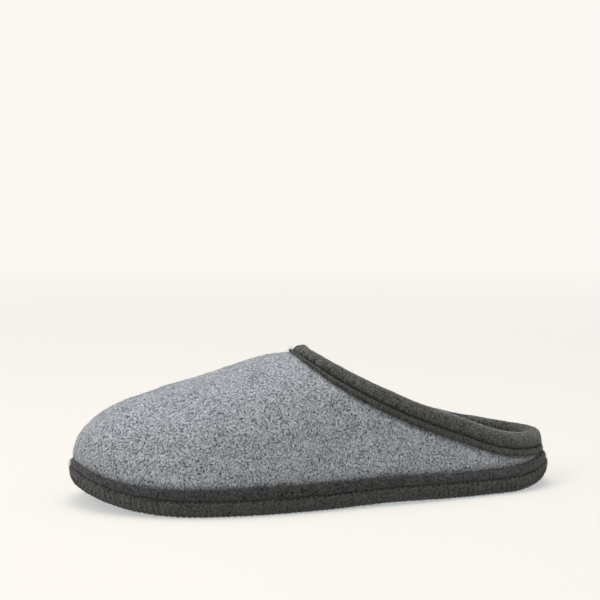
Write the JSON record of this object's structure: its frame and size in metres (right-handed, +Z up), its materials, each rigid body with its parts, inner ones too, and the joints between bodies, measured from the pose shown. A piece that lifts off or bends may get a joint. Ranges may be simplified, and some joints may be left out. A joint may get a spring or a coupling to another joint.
{
  "type": "felt slipper",
  "caption": "Open-back felt house slipper with a soft grey upper, dark bound collar, dark rand and a thick latex-coated felt sole; left foot.",
  "frame": {"origin": "on the floor, at the middle of the sole's length and width", "axes": "+X towards the toe, +Y towards the wearer's left, which is the outer side of this left slipper, +Z up from the floor"},
  "size_m": [0.2768, 0.1018, 0.0825],
  "materials": {
    "coated_felt": "dark grey felt with a thin crinkled latex coat",
    "rand_felt": "near-black wool felt",
    "upper_felt": "light grey mottled boiled wool felt",
    "binding_felt": "charcoal wool felt binding",
    "insole_felt": "grey wool felt"
  },
  "bodies": {
    "root": {"outsole": "coated_felt", "rand": "rand_felt", "upper": "upper_felt", "collar_binding": "binding_felt", "insole": "insole_felt"}
  },
  "joints": []
}
